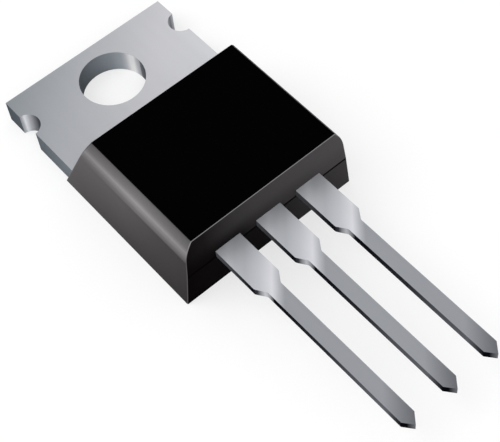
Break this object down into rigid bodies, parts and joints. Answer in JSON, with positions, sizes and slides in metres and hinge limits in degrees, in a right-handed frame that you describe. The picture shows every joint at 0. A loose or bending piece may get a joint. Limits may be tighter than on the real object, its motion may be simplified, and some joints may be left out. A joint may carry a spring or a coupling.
{
  "type": "power transistor",
  "caption": "Power transistor in a black moulded case with a flat metal mounting tab, one fixing hole and flat pointed leads.",
  "frame": {"origin": "centre of the mounting hole on the back face of the tab", "axes": "+Z along the mounting hole, out of the black face; +Y along the part, from the leads to the tab end; +X across"},
  "size_m": [0.0106, 0.0281, 0.0048],
  "materials": {
    "black_epoxy": "matte moulded epoxy",
    "plated_copper": "satin tin plate over copper",
    "solder": "dull solder",
    "silicon": "polished",
    "aluminium_wire": "bright drawn wire"
  },
  "bodies": {
    "root": {"mould_body": "black_epoxy", "tab_frame": "plated_copper", "gate_lead": "plated_copper", "source_lead": "plated_copper", "die_solder": "solder", "silicon_die": "silicon", "gate_wire": "aluminium_wire", "source_wire_inner": "aluminium_wire", "source_wire_outer": "aluminium_wire"}
  },
  "joints": []
}
